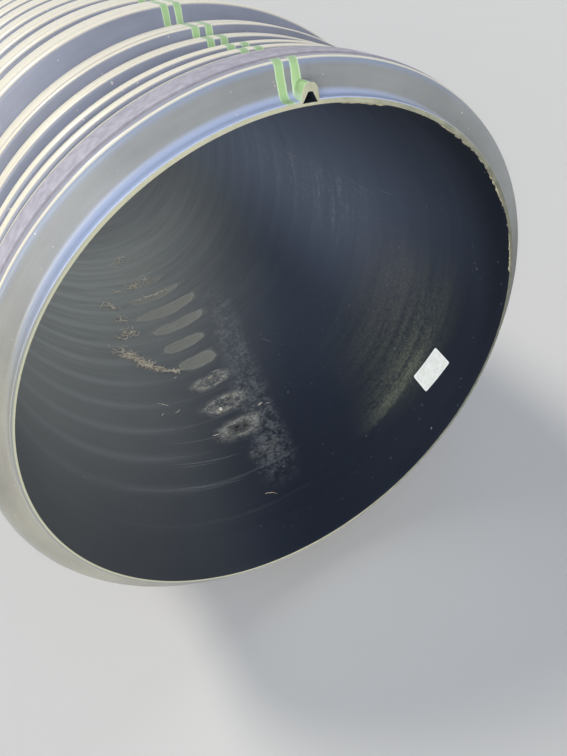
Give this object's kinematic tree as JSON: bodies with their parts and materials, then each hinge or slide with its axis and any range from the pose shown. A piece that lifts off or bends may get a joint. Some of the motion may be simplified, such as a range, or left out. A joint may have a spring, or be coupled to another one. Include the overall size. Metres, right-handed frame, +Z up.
{
  "type": "corrugated plastic culvert pipe",
  "caption": "Dual-wall culvert pipe with a smooth liner, hollow ring corrugations, a gasketed spigot and an in-line socket bell.",
  "frame": {"origin": "on the ground under the middle of the pipe's length, as it lies on its crests", "axes": "+Y along the pipe from the spigot to the bell, +Z up, the vent channel near the crown"},
  "size_m": [1.0667, 6.096, 1.0666],
  "materials": {
    "polyethylene": "black extruded polyethylene, glossy crests, satin side walls",
    "rubber": "matte moulded rubber",
    "label": "blank white film label"
  },
  "bodies": {
    "root": {"pipe_wall": "polyethylene", "spigot_gasket": "rubber", "pipe_label": "label"}
  },
  "joints": []
}
